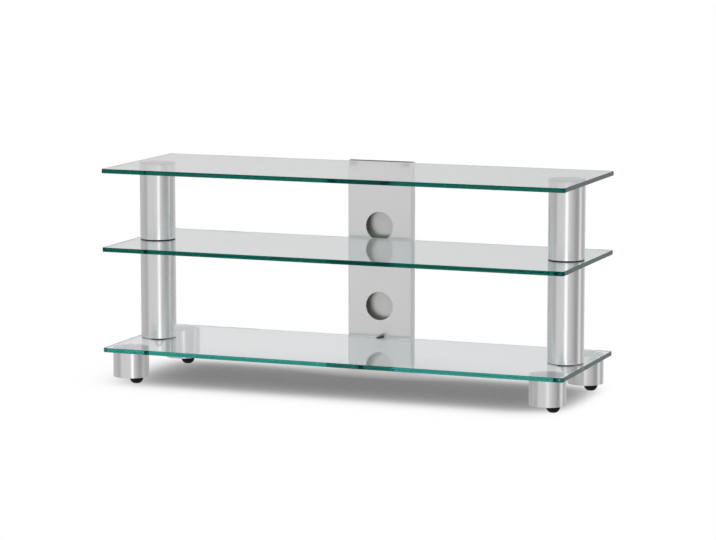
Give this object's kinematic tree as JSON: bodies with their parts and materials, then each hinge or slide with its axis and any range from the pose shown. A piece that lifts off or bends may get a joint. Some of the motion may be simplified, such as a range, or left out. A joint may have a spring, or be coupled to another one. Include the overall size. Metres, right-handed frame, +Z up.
{
  "type": "tv stand",
  "caption": "Open TV stand of clear glass shelves on round satin aluminium columns and feet, with levelling glides below and a perforated cable duct behind.",
  "frame": {"origin": "on the floor, under the middle of the stand's box, which takes in the duct behind the shelves", "axes": "+X to the right along the shelves as the viewer faces the front, +Y from front to rear, +Z up"},
  "size_m": [1.1, 0.4076, 0.4973],
  "materials": {
    "clear_glass": "clear float glass, polished green edges",
    "satin_aluminium": "satin anodised, drawn along the tube",
    "silver_paint": "fine silver powder coat",
    "zinc_steel": "zinc plated",
    "dark_steel": "black oxide",
    "black_rubber": "matt",
    "black_plastic": "moulded, half matt",
    "clear_pad": "translucent bonding strip"
  },
  "bodies": {
    "stand": {"top_shelf": "clear_glass", "middle_shelf": "clear_glass", "bottom_shelf": "clear_glass", "left_upper_post": "satin_aluminium", "left_upper_post_top_gasket": "black_rubber", "left_upper_post_bottom_gasket": "black_rubber", "left_lower_post": "satin_aluminium", "left_lower_post_top_gasket": "black_rubber", "left_lower_post_bottom_gasket": "black_rubber", "left_top_disc": "zinc_steel", "left_upper_post_bottom_plug": "black_plastic", "left_lower_post_top_plug": "black_plastic", "left_lower_post_bottom_plug": "black_plastic", "left_tie_rod": "zinc_steel", "left_rubber_washer": "black_rubber", "left_steel_washer": "zinc_steel", "left_cap_nut": "zinc_steel", "right_upper_post": "satin_aluminium", "right_upper_post_top_gasket": "black_rubber", "right_upper_post_bottom_gasket": "black_rubber", "right_lower_post": "satin_aluminium", "right_lower_post_top_gasket": "black_rubber", "right_lower_post_bottom_gasket": "black_rubber", "right_top_disc": "zinc_steel", "right_upper_post_bottom_plug": "black_plastic", "right_lower_post_top_plug": "black_plastic", "right_lower_post_bottom_plug": "black_plastic", "right_tie_rod": "zinc_steel", "right_rubber_washer": "black_rubber", "right_steel_washer": "zinc_steel", "right_cap_nut": "zinc_steel", "front_left_foot_sleeve": "satin_aluminium", "front_left_foot_plate": "zinc_steel", "front_left_foot_hub": "black_plastic", "front_left_foot_screw": "zinc_steel", "front_right_foot_sleeve": "satin_aluminium", "front_right_foot_plate": "zinc_steel", "front_right_foot_hub": "black_plastic", "front_right_foot_screw": "zinc_steel", "rear_left_foot_sleeve": "satin_aluminium", "rear_left_foot_plate": "zinc_steel", "rear_left_foot_hub": "black_plastic", "rear_left_foot_screw": "zinc_steel", "rear_right_foot_sleeve": "satin_aluminium", "rear_right_foot_plate": "zinc_steel", "rear_right_foot_hub": "black_plastic", "rear_right_foot_screw": "zinc_steel", "cable_duct": "silver_paint", "cover_stop": "silver_paint", "duct_left_buffer": "black_rubber", "duct_right_buffer": "black_rubber", "duct_bond": "clear_pad", "duct_clip": "dark_steel", "clip_screw": "dark_steel"},
    "front_left_glide": {"front_left_glide": "black_plastic"},
    "front_right_glide": {"front_right_glide": "black_plastic"},
    "rear_left_glide": {"rear_left_glide": "black_plastic"},
    "rear_right_glide": {"rear_right_glide": "black_plastic"},
    "duct_cover": {"duct_cover": "silver_paint"}
  },
  "joints": [
    {"name": "front_left_glide_screw", "type": "slide", "parent": "stand", "child": "front_left_glide", "axis": [0, 0, -1], "range_m": [0, 0.01]},
    {"name": "front_right_glide_screw", "type": "slide", "parent": "stand", "child": "front_right_glide", "axis": [0, 0, -1], "range_m": [0, 0.01]},
    {"name": "rear_left_glide_screw", "type": "slide", "parent": "stand", "child": "rear_left_glide", "axis": [0, 0, -1], "range_m": [0, 0.01]},
    {"name": "rear_right_glide_screw", "type": "slide", "parent": "stand", "child": "rear_right_glide", "axis": [0, 0, -1], "range_m": [0, 0.01]},
    {"name": "duct_cover_slide", "type": "slide", "parent": "stand", "child": "duct_cover", "axis": [0, 0, 1], "range_m": [0, 0.4]}
  ]
}
